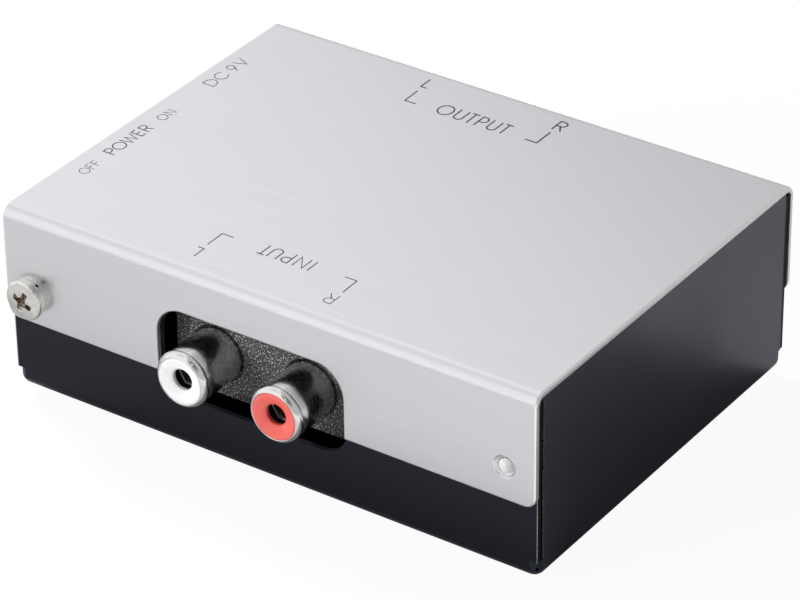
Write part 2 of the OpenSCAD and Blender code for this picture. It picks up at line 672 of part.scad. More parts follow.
module board_standoffs() in_case() color([0.70, 0.69, 0.66])
    for (x = [-hole_x, hole_x], y = hole_ys) translate([x, y, 0]) difference() {
        union() {
            translate([0, 0, 0.05]) cylinder(r = 2.05, h = tray_t);
            translate([0, 0, tray_t]) cylinder(r = standoff_r, h = board_z - tray_t);
        }
        translate([0, 0, 1.5]) cylinder(r = thread_r, h = board_z);
    }

module board_screws() in_case() color([0.78, 0.76, 0.72])
    for (x = [-hole_x, hole_x], y = hole_ys) translate([x, y, board_top]) rotate([-90, 0, 0]) {
        binding_head();
        translate([0, -eps, 0]) rod_y(screw_r, board_t + 4);
    }

// Two eight-pin packages, each with a notch at the pin-one end and drafted sides
module amplifier_chips() in_case() color([0.10, 0.10, 0.11])
    for (p = chip_at) translate([p[0], p[1], board_top + 0.6]) difference() {
        rotate([90, 0, 90]) linear_extrude(9.6, center = true)
            polygon([[-3.05, 0], [3.05, 0], [3.2, 1.55], [3.2, 1.8], [3, 3.3], [-3, 3.3], [-3.2, 1.8], [-3.2, 1.55]]);
        translate([-4.8, 0, 2.9]) cylinder(r = 0.8, h = 1, $fn = 32);
    }

module chip_leads() in_case() color([0.78, 0.78, 0.76])
    for (p = chip_pins) translate([p[0], p[1], 0]) {
        block([-0.6, -0.13, board_top], [0.6, 0.13, board_top + 2.4]);
        block([-0.23, -0.13, board_z - 1.1], [0.23, 0.13, board_top + eps]);
        block([-0.6, p[2] > 0 ? -0.61 : 0, board_top + 2.15], [0.6, p[2] > 0 ? 0 : 0.61, board_top + 2.4]);
        solder_cone(0.25);
    }

// Sleeved cans with a rolled groove near the board
module electrolytic_capacitors() in_case() color([0.11, 0.13, 0.22])
    for (c = all_caps) translate([c[0], c[1], board_top]) rotate_extrude() difference() {
        union() {
            square([c[2] - 0.4, c[3]]);
            square([c[2], c[3] - 0.4]);
            translate([c[2] - 0.4, c[3] - 0.4]) circle(0.4);
        }
        translate([c[2] + 0.35, 1.7]) circle(0.7);
        translate([0, c[3] - 0.3]) square([c[2] - 0.8, 1]);
    }

module capacitor_vents() in_case() color([0.80, 0.80, 0.80])
    for (c = all_caps) translate([c[0], c[1], board_top + c[3] - 0.3]) difference() {
        cylinder(r = c[2] - 0.82, h = 0.2);
        for (a = [0, 60, 120]) rotate([0, 0, a]) translate([0, 0, 0.2]) cube([2*c[2] - 3, 0.25, 0.2], center = true);
    }

module film_capacitors() in_case() color([0.16, 0.42, 0.30])
    for (p = film_at) translate([p[0], p[1], board_top + 0.4 + 3.2])
        rotate([0, 90, 0]) linear_extrude(2.6, center = true) round_rect(6.4, 7.2, 1.4);

// Turned outline of a resistor: a bead at each end and a narrower middle
module resistors() in_case() color([0.78, 0.68, 0.50])
    for (p = resistor_at) translate([p[0] - resistor_len/2, p[1], board_top + resistor_r]) rotate([0, 90, 0])
        rotate_extrude($fn = 32) {
            square([resistor_r - 0.15, resistor_len]);
            for (z = [0, resistor_len - 1.6]) translate([0, z]) {
                square([resistor_r - 0.3, 1.6]);
                translate([0, 0.3]) square([resistor_r, 1]);
                for (e = [0.3, 1.3]) translate([resistor_r - 0.3, e]) circle(0.3, $fn = 32);
            }
        }

module component_leads() in_case() color([0.77, 0.77, 0.76]) {
    for (p = upright_leads) translate([p[0], p[1], 0]) lead(board_top + p[2]);
    for (a = axial_at, e = [-1, 1]) translate([a[0] + e*axial_span/2, a[1], 0]) {
        lead(board_top + a[2]);
        translate([0, 0, board_top + a[2]]) sphere(lead_r, $fn = 24);
        translate([e > 0 ? -(axial_span - a[3])/2 : 0, 0, board_top + a[2]])
            rotate([0, 90, 0]) cylinder(r = lead_r, h = (axial_span - a[3])/2, $fn = 24);
    }
}

// Three-legged package with one flat side
module regulator() in_case() color([0.10, 0.10, 0.10])
    translate([regulator_at[0], regulator_at[1], board_top + 2.5]) difference() {
        cylinder(r = 2.4, h = 4.8);
        block([-3, 1.3, -1], [3, 3, 6]);
    }

module supply_diode() in_case() color([0.10, 0.10, 0.10])
    translate([diode_at[0] - 2.6, diode_at[1], board_top + 1.35]) rod_x(1.35, 5.2);

base_tray();
top_cover();
rubber_feet();
cover_screws();
ground_screw();
ground_lock_washer();
ground_flat_washer();
ground_nut();
ground_tag();
lamp_lens();
lamp_leads();
input_jack_block();
input_left_shell();
input_right_shell();
input_left_insert();
input_right_insert();
input_left_contact();
input_right_contact();
input_jack_terminals();
output_jack_block();
output_left_shell();
output_right_shell();
output_left_insert();
output_right_insert();
output_left_contact();
output_right_contact();
output_jack_terminals();
dc_jack_body();
dc_jack_pin();
dc_jack_spring();
dc_jack_terminals();
switch_frame();
switch_base();
switch_slider();
switch_terminals();
circuit_board();
board_standoffs();
board_screws();
amplifier_chips();
chip_leads();
electrolytic_capacitors();
capacitor_vents();
film_capacitors();
resistors();
component_leads();
regulator();
supply_diode();
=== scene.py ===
# %% [markdown]
# # A phono preamplifier in a folded sheet-metal case
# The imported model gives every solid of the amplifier, already in place. This lesson dresses those
# solids: it rounds their edges, turns the round parts again with finer curves, prints the words on
# the cover, and gives every surface its own finish. Lengths are in metres, +Z is up, and the input
# side faces -Y.

import json
import math

import bmesh
import bpy
import numpy as np
from mathutils import Matrix, Vector


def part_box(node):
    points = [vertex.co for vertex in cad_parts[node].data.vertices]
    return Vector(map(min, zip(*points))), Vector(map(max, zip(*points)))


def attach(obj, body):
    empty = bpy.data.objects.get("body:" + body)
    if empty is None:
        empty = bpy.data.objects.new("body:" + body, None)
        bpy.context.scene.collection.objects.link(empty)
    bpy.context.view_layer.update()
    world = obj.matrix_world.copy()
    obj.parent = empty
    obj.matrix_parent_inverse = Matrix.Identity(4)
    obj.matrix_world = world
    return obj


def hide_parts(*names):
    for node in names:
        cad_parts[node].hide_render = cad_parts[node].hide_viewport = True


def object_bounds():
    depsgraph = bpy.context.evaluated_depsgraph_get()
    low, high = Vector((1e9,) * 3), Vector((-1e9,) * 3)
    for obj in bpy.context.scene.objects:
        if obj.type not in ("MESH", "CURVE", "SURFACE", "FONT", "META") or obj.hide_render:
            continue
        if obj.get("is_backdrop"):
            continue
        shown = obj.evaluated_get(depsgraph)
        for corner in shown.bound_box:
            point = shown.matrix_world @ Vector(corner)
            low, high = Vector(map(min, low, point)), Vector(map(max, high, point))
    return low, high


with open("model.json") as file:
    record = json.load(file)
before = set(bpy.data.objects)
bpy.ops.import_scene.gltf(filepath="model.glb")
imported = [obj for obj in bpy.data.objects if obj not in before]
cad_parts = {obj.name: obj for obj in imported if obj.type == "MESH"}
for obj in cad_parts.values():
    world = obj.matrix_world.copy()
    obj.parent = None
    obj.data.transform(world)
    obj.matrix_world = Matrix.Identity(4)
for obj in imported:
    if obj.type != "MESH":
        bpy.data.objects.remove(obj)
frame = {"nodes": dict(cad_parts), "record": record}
nodes = frame["nodes"]
body_of_node = {n: b for b, ns in frame["record"]["behaviour"]["bodies"].items() for n in ns}
cad_low, cad_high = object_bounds()
MM = 0.001
print("solids:", len(nodes), "box in mm:", [round((b - a) / MM, 2) for a, b in zip(cad_low, cad_high)])

# %% [markdown]
# ## The camera
# A long lens from the front right, a little above the case. Long lenses keep the case's edges nearly
# parallel, as in a catalogue picture. The camera's place is worked out from its azimuth, elevation,
# distance and a small roll, and it is set first so that every later choice can be judged through it.

# %% The camera's place
AZIMUTH, ELEVATION, ROLL = np.radians([35.009, 31.719, -0.812])
DISTANCE = 0.60193
TARGET = np.array([0, 0, 0.015])
SHIFT_RIGHT, SHIFT_UP = 0.0195e-3, 0.917e-3
LENS_MM = 188.666

back = np.array([math.sin(AZIMUTH) * math.cos(ELEVATION), -math.cos(AZIMUTH) * math.cos(ELEVATION),
                 math.sin(ELEVATION)])
level = np.array([math.cos(AZIMUTH), math.sin(AZIMUTH), 0])
upright = np.cross(back, level)
right = math.cos(ROLL) * level + math.sin(ROLL) * upright
up = math.cos(ROLL) * upright - math.sin(ROLL) * level

camera = bpy.data.objects.new("camera", bpy.data.cameras.new("camera"))
camera.data.lens = LENS_MM
camera.data.sensor_width = 36
camera.data.clip_start, camera.data.clip_end = 0.01, 20
viewpoint = TARGET + back * DISTANCE - right * SHIFT_RIGHT - up * SHIFT_UP
camera.matrix_world = Matrix([*np.column_stack([right, up, back, viewpoint]).tolist(), [0, 0, 0, 1]])
bpy.context.scene.collection.objects.link(camera)
bpy.context.scene.camera = camera
print("camera at", [round(v, 4) for v in camera.matrix_world.translation])

# %% [markdown]
# ## Helpers for surfaces
# A surface is a grid of points. `from_grid` joins neighbours into quads, and can close the grid
# round either way. Everything is worked out as whole arrays.

# %% Grids of points into meshes
def link(obj):
    """Puts an object into the scene and hands it back."""
    bpy.context.scene.collection.objects.link(obj)
    return obj


def shade(mesh, sharp_degrees):
    """Smooth shading, with every edge sharper than the given angle kept crisp."""
    mesh.polygons.foreach_set("use_smooth", np.ones(len(mesh.polygons), dtype=bool))
    mesh.set_sharp_from_angle(angle=math.radians(sharp_degrees))


def from_grid(name, points, close_rows=False, close_columns=True, sharp_degrees=35):
    """Row i, column j of points (rows, columns, 3) is one vertex; each cell of the grid is one quad,
    and a closed direction adds the cells that join the last line to the first. Doubled points, as at
    a pole, are merged afterwards."""
    rows, columns = points.shape[:2]
    i = np.arange(rows if close_rows else rows - 1)[:, None]
    j = np.arange(columns if close_columns else columns - 1)[None, :]
    i2, j2 = (i + 1) % rows, (j + 1) % columns
    quads = np.stack([i * columns + j, i * columns + j2, i2 * columns + j2, i2 * columns + j], -1)
    mesh = bpy.data.meshes.new(name)
    mesh.from_pydata(points.reshape(-1, 3), [], quads.reshape(-1, 4))
    tidy = bmesh.new()
    tidy.from_mesh(mesh)
    bmesh.ops.remove_doubles(tidy, verts=tidy.verts, dist=1e-7)
    bmesh.ops.recalc_face_normals(tidy, faces=tidy.faces)
    tidy.to_mesh(mesh)
    tidy.free()
    shade(mesh, sharp_degrees)
    return link(bpy.data.objects.new(name, mesh))


def turned(name, profile, centre, facing, segments=128, close=False, sharp_degrees=35):
    """A profile of (radius, depth) pairs in mm, turned about an axis along Y through centre. A point
    at angle t is centre + radius*(cos t, 0, sin t) + depth*(0, -facing, 0), so depth is measured
    inwards from the face that looks along facing*Y."""
    profile = np.asarray(profile, float) * MM
    t = np.linspace(0, 2 * math.pi, segments, endpoint=False)
    r, depth = profile[:, :1], profile[:, 1:]
    points = np.stack([r * np.cos(t), -facing * depth + 0 * t, r * np.sin(t)], -1) + np.asarray(centre)
    return from_grid(name, points, close_rows=close, sharp_degrees=sharp_degrees)


def arc(centre_r, centre_d, radius, from_degrees, to_degrees, steps):
    """Points (radius, depth) on a circle in the profile's plane; 0 degrees points outwards from the
    axis and 90 degrees points deeper."""
    a = np.radians(np.linspace(from_degrees, to_degrees, steps))
    return np.stack([centre_r + radius * np.cos(a), centre_d + radius * np.sin(a)], -1)


# %% [markdown]
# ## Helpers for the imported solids
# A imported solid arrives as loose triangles. `dress` takes a merged copy, joins the triangles of each
# flat face, and adds a narrow Bevel, so that edges catch the light as real edges do. The copy stands
# for the solid and rides on the same body.

# %% Copies with rounded edges
def claim(piece, node, finish):
    """The piece stands for the named solid, moves with its body, and has a finish."""
    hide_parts(node)
    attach(piece, body_of_node[node])
    piece.data.materials.clear()
    piece.data.materials.append(finish.material)
    return piece


def drawn_size(obj):
    """Volume and area of an object with its modifiers, from the triangles that a renderer draws."""
    shown = obj.evaluated_get(bpy.context.evaluated_depsgraph_get())
    mesh = shown.to_mesh()
    mesh.calc_loop_triangles()
    corners = np.empty(3 * len(mesh.loop_triangles), dtype=np.int32)
    mesh.loop_triangles.foreach_get("vertices", corners)
    points = np.empty(3 * len(mesh.vertices))
    mesh.vertices.foreach_get("co", points)
    a, b, c = np.moveaxis(points.reshape(-1, 3)[corners.reshape(-1, 3)], 1, 0)
    shown.to_mesh_clear()
    normals = np.cross(b - a, c - a)
    return (a * normals).sum() / 6, np.linalg.norm(normals, axis=1).sum() / 2


def strayed(piece, solid):
    """True if rounding the edges has changed the piece by more than soft edges can."""
    (volume, area), (solid_volume, solid_area) = drawn_size(piece), drawn_size(solid)
    return abs(volume / solid_volume - 1) > 0.08 or abs(area / solid_area - 1) > 0.12


SHARP_DEGREES = 30    # edges sharper than this are rounded
NARROWER = 0.4        # share of the width that is tried when the full one spoils the shape


def dress(node, finish, bevel_mm, segments=2, name=None, clamp=True):
    """A merged copy of a solid with edges rounded to bevel_mm. The clamp narrows the rounding of the
    whole piece where an edge is short."""
    piece = link(bpy.data.objects.new(name or node + "_dressed", nodes[node].data.copy()))
    tidy = bmesh.new()
    tidy.from_mesh(piece.data)
    bmesh.ops.remove_doubles(tidy, verts=tidy.verts, dist=2e-6)
    bmesh.ops.dissolve_limit(tidy, angle_limit=math.radians(0.4), verts=tidy.verts,
                             edges=tidy.edges)
    tidy.to_mesh(piece.data)
    tidy.free()
    if piece.data.has_custom_normals:
        piece.data.attributes.remove(piece.data.attributes["custom_normal"])
    shade(piece.data, SHARP_DEGREES)
    if bevel_mm:
        bevel = piece.modifiers.new("rounded edges", "BEVEL")
        bevel.width = bevel_mm * MM
        bevel.segments = segments
        bevel.limit_method = "ANGLE"
        bevel.angle_limit = math.radians(SHARP_DEGREES)
        bevel.harden_normals = True
        bevel.use_clamp_overlap = clamp
        bevel.loop_slide = False
        if strayed(piece, nodes[node]):
            print("narrower edges on", node)
            bevel.width = NARROWER * bevel_mm * MM
            if strayed(piece, nodes[node]):
                print("plain edges on", node)
                piece.modifiers.remove(bevel)
    return claim(piece, node, finish)


# %% [markdown]
# ## Helpers for finishes
# Each finish is a Principled shader with patterns from noise. The patterns read Object coordinates,
# which are metres in the part's own frame, so a scale of 1000 gives one feature per millimetre.

# %% Node helpers
MIDDLE = (0.3, 0.7)    # most of a noise lies between these


class Finish:
    """A material under construction: the shader's sockets by name, and a few pattern makers."""

    def __init__(self, name, **sockets):
        self.material = bpy.data.materials.new(name)
        self.material.use_nodes = True
        self.tree = self.material.node_tree
        self.shader = self.tree.nodes["Principled BSDF"]
        self.set(**sockets)
        self.place = self.tree.nodes.new("ShaderNodeTexCoord").outputs["Object"]

    def node(self, kind, settings=(), **inputs):
        """A node of that kind. Inputs are values or sockets, and _0 is the first input."""
        made = self.tree.nodes.new(kind)
        for key, value in dict(settings).items():
            setattr(made, key, value)
        for key, value in inputs.items():
            socket = made.inputs[int(key[1:]) if key[0] == "_" else key.replace("_", " ")]
            if isinstance(value, bpy.types.NodeSocket):
                self.tree.links.new(value, socket)
            else:
                socket.default_value = value
        return made

    def noise(self, per_mm, detail=3.0, roughness=0.55, shift=(0, 0, 0)):
        """Smooth random pattern from 0 to 1 with so many features per millimetre each way."""
        per_mm = (per_mm,) * 3 if np.isscalar(per_mm) else per_mm
        stretched = self.node("ShaderNodeMapping", Vector=self.place, Location=shift,
                              Scale=[1000 * v for v in per_mm]).outputs[0]
        return self.node("ShaderNodeTexNoise", Vector=stretched, Scale=1.0, Detail=detail,
                         Roughness=roughness).outputs[0]

    def remap(self, value, low, high, to_low, to_high):
        """The value's range low..high becomes to_low..to_high."""
        return self.node("ShaderNodeMapRange", _0=value, _1=low, _2=high, _3=to_low,
                         _4=to_high).outputs[0]

    def blend(self, fac, first, second):
        """A mix of two colours, each three numbers."""
        return self.node("ShaderNodeMix", {"data_type": "RGBA"}, _0=fac, _6=(*first, 1),
                         _7=(*second, 1)).outputs[2]

    def calc(self, operation, *values, clamp=False):
        """One step of arithmetic on values or sockets."""
        return self.node("ShaderNodeMath", {"operation": operation, "use_clamp": clamp},
                         **{f"_{k}": value for k, value in enumerate(values)}).outputs[0]

    def bump(self, height, strength, depth_mm):
        """Bump of the given depth in millimetres."""
        return self.node("ShaderNodeBump", Height=height, Strength=strength,
                         Distance=depth_mm * MM).outputs[0]

    def set(self, **sockets):
        """Links or sets the shader's sockets, and hands the finish back."""
        for socket, value in sockets.items():
            target = self.shader.inputs[socket.replace("_", " ")]
            if isinstance(value, bpy.types.NodeSocket):
                self.tree.links.new(value, target)
            else:
                target.default_value = value
        return self

    def uneven(self, low, high, per_mm, **kind):
        """Roughness that wanders from low to high in a noise of so many features per millimetre."""
        return self.set(Roughness=self.remap(self.noise(per_mm, **kind), *MIDDLE, low, high))


# %% [markdown]
# ## Brushed aluminium
# The cover is rubbed along its length with an abrasive belt. The lines run along X, so the noise is
# stretched far along X and kept fine across it. Two sizes of line are mixed: hair lines that only
# shift the roughness, and a few wider streaks that also change the colour slightly.

# %% Aluminium
aluminium = Finish("brushed aluminium", Metallic=1.0, Anisotropic=0.55, Anisotropic_Rotation=0.25)
hair_lines = aluminium.noise((0.04, 10, 10), detail=2)
streaks = aluminium.noise((0.03, 4.0, 4.0), detail=3, shift=(3, 1, 7))
aluminium.set(
    Base_Color=aluminium.blend(aluminium.remap(streaks, *MIDDLE, 0.0, 1.0),
                               (0.828, 0.830, 0.862), (0.848, 0.848, 0.878)),
    Roughness=aluminium.remap(hair_lines, *MIDDLE, 0.29, 0.39),
    Tangent=aluminium.node("ShaderNodeTangent", {"direction_type": "RADIAL", "axis": "X"}).outputs[0],
    Normal=aluminium.bump(hair_lines, 0.25, 0.004))
rubbed_edge = Finish("rubbed edge of the sheet", Metallic=1.0, Base_Color=(0.94, 0.94, 0.92, 1))
rubbed_edge.uneven(0.12, 0.22, 4.0)
sheared = Finish("sheared aluminium", Metallic=1.0, Base_Color=(0.72, 0.73, 0.75, 1))
sheared.uneven(0.38, 0.55, 4.0)
print("made", aluminium.material.name)

# %% [markdown]
# ## Black satin paint
# Powder paint dries with a very fine orange peel. A low bump of about three dimples a millimetre
# breaks up the reflections, and the roughness drifts slowly over the sheet. The front and rear walls
# get a darker, duller copy of the paint as painted shade, and their outer corners turn to steel in
# patches, as wear and as a painted highlight on the edge. The walls' cut ends are painted nearly
# black, as painted shade in the seam.

# %% Paint
COLD_GLOSS = (0.66, 0.73, 1.0, 1)         # tint of the paint's reflections
END_INSET = 0.15                          # mm from the tray's sides to the ends of its end walls
WEAR_HIGHLIGHT_FROM, WEAR_HIGHLIGHT_TO = 0.14, 0.11           # mm from a wall's end; the wear and the painted highlight grow between them
PEEL_PER_MM, PEEL_STRENGTH, PEEL_MM = 3.2, 0.3, 0.01

paint = Finish("black satin paint", Base_Color=(0.0100, 0.0106, 0.0142, 1), Specular_IOR_Level=0.84,
               Specular_Tint=COLD_GLOSS)
peel = paint.noise(PEEL_PER_MM, detail=2)
paint.uneven(0.33, 0.42, 0.05, detail=2)
paint.set(Normal=paint.bump(peel, PEEL_STRENGTH, PEEL_MM))

# painted shade: the walls' cut ends are made nearly black for the shade of the seam at the corners
painted_shade_cut_ends = Finish("painted shade on the walls' cut ends", Base_Color=(0.004, 0.0042, 0.006, 1),
                   Roughness=0.5, Specular_IOR_Level=0.14)

# painted shade: a darker, duller copy of the paint for the front and rear walls
shaded_paint_worn_lit_corners = Finish("shaded paint with wear and painted highlight at the corners", Roughness=0.42, Specular_IOR_Level=0.28,
                    Specular_Tint=COLD_GLOSS)
wall_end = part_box("base_tray")[1][0] - END_INSET * MM
across_wall = shaded_paint_worn_lit_corners.node("ShaderNodeSeparateXYZ", _0=shaded_paint_worn_lit_corners.place).outputs["X"]
# the corners' steel is wear and also a painted highlight on the edge
corner = shaded_paint_worn_lit_corners.remap(shaded_paint_worn_lit_corners.calc("ABSOLUTE", across_wall),
                          wall_end - WEAR_HIGHLIGHT_FROM * MM, wall_end - WEAR_HIGHLIGHT_TO * MM, 0.0, 1.0)
patchy = shaded_paint_worn_lit_corners.remap(shaded_paint_worn_lit_corners.noise(3.0, detail=3), 0.40, 0.50, 0.25, 1.0)
wear_and_highlight = shaded_paint_worn_lit_corners.calc("MULTIPLY", corner, patchy)
shaded_paint_worn_lit_corners.set(
    Base_Color=shaded_paint_worn_lit_corners.blend(wear_and_highlight, (0.0080, 0.0085, 0.0118), (0.60, 0.60, 0.62)),
    Metallic=wear_and_highlight,
    Normal=shaded_paint_worn_lit_corners.bump(shaded_paint_worn_lit_corners.noise(PEEL_PER_MM, detail=2), PEEL_STRENGTH, PEEL_MM))

# %% [markdown]
# ## Moulded black plastic
# The jack blocks come from a spark-eroded mould, so their faces are covered with sharp grains, about
# four to the millimetre. The grain has real depth, and its highest spots are painted pale: painted
# highlights where small facets would catch the light.

# %% Textured plastic
moulded = Finish("spark eroded plastic", Specular_IOR_Level=0.7)
grains = moulded.noise(4.0, detail=1, roughness=0.6)
painted_sparkle = moulded.remap(grains, 0.57, 0.67, 0.0, 1.0)
moulded.set(
    # the pale spots of the grain are painted highlights
    Base_Color=moulded.blend(painted_sparkle, (0.046, 0.046, 0.048), (0.85, 0.85, 0.86)),
    Roughness=moulded.remap(grains, *MIDDLE, 0.26, 0.4),
    Normal=moulded.bump(grains, 1.0, 0.25))

smooth_black = Finish("smooth black plastic", Base_Color=(0.016, 0.016, 0.017, 1), Roughness=0.38)
smooth_black.set(Normal=smooth_black.bump(smooth_black.noise(5, detail=2), 0.2, 0.01))

# %% [markdown]
# ## Nickel, steel and brass
# Plated parts are nearly mirrors. The noise on the barrels is about ten times finer along Y than
# across it, so it gives them faint turning marks that run round.

# %% Plated metals
nickel = Finish("nickel plate", Metallic=1.0, Base_Color=(0.81, 0.81, 0.80, 1))
nickel.uneven(0.10, 0.19, (0.6, 6, 0.6), detail=3)
drawn_nickel = Finish("nickel on the drawn tube", Metallic=1.0, Base_Color=(0.80, 0.80, 0.77, 1))
drawn_nickel.uneven(0.19, 0.30, (0.6, 5, 0.6), detail=3)

screw_metal = Finish("nickelled screw", Metallic=1.0)
stain = screw_metal.remap(screw_metal.noise(1.4, detail=4), 0.45, 0.7, 0.0, 1.0)
screw_metal.set(Base_Color=screw_metal.blend(stain, (0.83, 0.82, 0.79), (0.70, 0.67, 0.62)))
screw_metal.uneven(0.14, 0.24, 2.5)

# the cross recess is darker, and its light patches are painted highlights
dark_recess_highlights = Finish("darker recess with painted highlights", Metallic=1.0, Roughness=0.35)
recess_highlights = dark_recess_highlights.remap(dark_recess_highlights.noise(3.5, detail=3), 0.40, 0.62, 0.0, 1.0)
dark_recess_highlights.set(Base_Color=dark_recess_highlights.blend(recess_highlights, (0.12, 0.08, 0.06), (0.80, 0.70, 0.62)))

steel = Finish("washer steel", Metallic=0.8, Base_Color=(0.84, 0.83, 0.81, 1)).uneven(0.22, 0.4, 3.0)
tin = Finish("tinned wire", Metallic=1.0, Base_Color=(0.72, 0.72, 0.71, 1)).uneven(0.2, 0.4, 2.0)
brass = Finish("brass strip", Metallic=1.0, Base_Color=(0.78, 0.60, 0.30, 1)).uneven(0.22, 0.38, 2.0)
spring_metal = Finish("contact metal", Metallic=1.0, Base_Color=(0.93, 0.91, 0.86, 1))
spring_metal.uneven(0.18, 0.34, 3.0)
filed_end = Finish("filed end of a contact", Metallic=0.3, Base_Color=(0.93, 0.92, 0.90, 1))
filed_end.uneven(0.34, 0.5, 6.0)

# %% [markdown]
# ## Coloured insulators
# The rings in the jacks are glossy plastic, white for left and red for right. A little light goes
# into the plastic, which softens the shade inside the pin hole.

# %% Insulators
def insulator(name, colour, deep, scatter, reach):
    """Glossy plastic that is cloudy between two colours and lets some light in as far as reach."""
    finish = Finish(name, Roughness=0.22, Coat_Weight=0.35, Coat_Roughness=0.08,
                    Subsurface_Weight=scatter, Subsurface_Radius=reach, Subsurface_Scale=1.0)
    cloud = finish.remap(finish.noise(0.8, detail=3), 0.35, 0.7, 0, 1)
    return finish.set(Base_Color=finish.blend(cloud, colour, deep))


white_plastic = insulator("white insulator", (0.92, 0.92, 0.92), (0.90, 0.90, 0.90), 0.5,
                          (0.0012, 0.0011, 0.001))
red_plastic = insulator("red insulator", (0.84, 0.135, 0.11), (0.79, 0.115, 0.095), 0.2,
                        (0.0008, 0.0003, 0.0002))

# %% [markdown]
# ## The parts inside and below
# These show only through the gaps, from below, or when the cover is off, but each still gets a
# finish of its own: solder mask with a faint weave, shrink sleeves, dipped film and rubber.

# %% Inner finishes
board_mask = Finish("green solder mask", Roughness=0.3)
board_mask.set(Base_Color=board_mask.blend(board_mask.noise(4.0, detail=2),
                                           (0.008, 0.045, 0.024), (0.014, 0.065, 0.035)))
sleeve = Finish("shrink sleeve", Base_Color=(0.03, 0.04, 0.09, 1)).uneven(0.2, 0.32, 1.0)
film = Finish("dipped film capacitor", Base_Color=(0.06, 0.28, 0.18, 1)).uneven(0.16, 0.3, 1.5)
lacquer = Finish("resistor lacquer", Base_Color=(0.55, 0.42, 0.26, 1)).uneven(0.32, 0.5, 3.0)
laminate = Finish("brown laminate", Roughness=0.6)
laminate.set(Base_Color=laminate.blend(laminate.noise((6, 6, 20)), (0.18, 0.10, 0.05), (0.28, 0.16, 0.08)))
rubber = Finish("foot rubber", Base_Color=(0.018, 0.018, 0.018, 1), Roughness=0.75)
rubber.set(Normal=rubber.bump(rubber.noise(5.0), 0.4, 0.02))
can = Finish("capacitor can", Metallic=1.0, Base_Color=(0.75, 0.75, 0.75, 1)).uneven(0.28, 0.42, 2.0)

milky = Finish("milky lamp", Base_Color=(0.95, 0.95, 0.96, 1), IOR=1.5, Transmission_Weight=0.15,
               Subsurface_Weight=0.3, Subsurface_Radius=(0.001, 0.001, 0.001), Subsurface_Scale=1.0)
milky.uneven(0.10, 0.16, 2.0)

ink = Finish("grey ink", Roughness=0.5)
ink.set(Base_Color=ink.blend(ink.noise(6.0, detail=3), (0.025, 0.026, 0.03), (0.05, 0.051, 0.055)))

# %% [markdown]
# ## The case
# Both sheets keep the shape of their solids. The cover's outer edges are rounded and rubbed bright
# along its two sides, and its cut edges are duller. Paint softens the edges of the steel.

# %% Cover and tray
COVER_ROUNDING, TRAY_ROUNDING = 0.3, 0.13    # mm
INNER_SHARE = 0.15       # of the rounding, for the edges inside the cover
OUTER_WITHIN = 0.68      # mm; an outer edge is nearer than this to the cover's box, even in a bend
NEAR = 0.05              # mm; how closely a face has to lie in a plane

cover = dress("top_cover", aluminium, COVER_ROUNDING, segments=4, name="cover_sheet", clamp=False)
tray = dress("base_tray", paint, TRAY_ROUNDING, segments=3, name="tray_sheet")
cover_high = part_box("top_cover")[1]


def repaint(piece, finish, chosen):
    """Gives another finish to the polygons for which chosen(centres, normals) is true, in mm."""
    mesh = piece.data
    finish_of = np.empty(len(mesh.polygons), dtype=np.int32)
    mesh.polygons.foreach_get("material_index", finish_of)
    centres, normals = np.empty(3 * len(mesh.polygons)), np.empty(3 * len(mesh.polygons))
    mesh.polygons.foreach_get("center", centres)
    mesh.polygons.foreach_get("normal", normals)
    picked = chosen(centres.reshape(-1, 3) / MM, normals.reshape(-1, 3))
    mesh.materials.append(finish.material)
    finish_of[picked] = len(mesh.materials) - 1
    mesh.polygons.foreach_set("material_index", finish_of)
    print("repainted", int(picked.sum()), "faces of", piece.name)


def round_outside(piece):
    """Leaves the cover's inner edges almost square, and rounds only those on its outside."""
    mesh = piece.data
    points, ends = np.empty(3 * len(mesh.vertices)), np.empty(2 * len(mesh.edges), dtype=np.int32)
    mesh.vertices.foreach_get("co", points)
    mesh.edges.foreach_get("vertices", ends)
    middle = points.reshape(-1, 3)[ends.reshape(-1, 2)].mean(axis=1)
    within = np.minimum(cover_high[1] - abs(middle[:, 1]), cover_high[2] - middle[:, 2])
    sharp = np.empty(len(mesh.edges), dtype=bool)
    mesh.attributes["sharp_edge"].data.foreach_get("value", sharp)
    weight = sharp * np.where(within < OUTER_WITHIN * MM, 1.0, INNER_SHARE)
    weights = mesh.attributes.new("bevel_weight_edge", "FLOAT", "EDGE")
    weights.data.foreach_set("value", weight.astype(np.float32))
    piece.modifiers["rounded edges"].limit_method = "WEIGHT"


def keep_rounding(piece):
    """Makes the rounded edges part of the mesh, so that the faces between them can be told apart."""
    shown = piece.evaluated_get(bpy.context.evaluated_depsgraph_get())
    rounded = bpy.data.meshes.new_from_object(shown)
    piece.modifiers.clear()
    piece.data = rounded


round_outside(cover)
keep_rounding(cover)
cover_side = cover_high[0] / MM
repaint(cover, sheared, lambda c, n: (abs(n[:, 0]) > 0.99) & (abs(cover_side - abs(c[:, 0])) < NEAR))
repaint(cover, rubbed_edge, lambda c, n: (abs(n[:, 0]) > 0.1) & (abs(n[:, 0]) < 0.95)
        & (abs(c[:, 0]) > cover_side - COVER_ROUNDING - NEAR))
# painted shade: the front and rear walls get the darker copy, with its painted highlight at the corners
repaint(tray, shaded_paint_worn_lit_corners, lambda c, n: abs(n[:, 1]) > 0.99)
# painted shade on the walls' cut ends
repaint(tray, painted_shade_cut_ends, lambda c, n: (abs(n[:, 0]) > 0.99) & (abs(abs(c[:, 0]) - wall_end / MM) < NEAR))

# %% [markdown]
# ## The jacks
# A barrel is turned, and so is the insulator, with a dished face that falls to the pin hole. Both
# are made again here with 128 sides for a clean outline. The rolled rim stands a little in front of
# the solid's flat one and bulges past it, and behind the bulge the tube narrows to a neck that
# widens again towards the block.

# %% Barrels and insulators
RIM_REACH = 0.4               # mm that the rolled rim stands in front of the solid's flat one
BULGE = 1.045 - RIM_REACH     # depth of the bulge's widest place
TUBE_FROM = 1.2               # depth at which the nickel turns duller
BLACK_FROM = 1.3              # depth from which the insulator is painted black: painted shade inside the pin hole
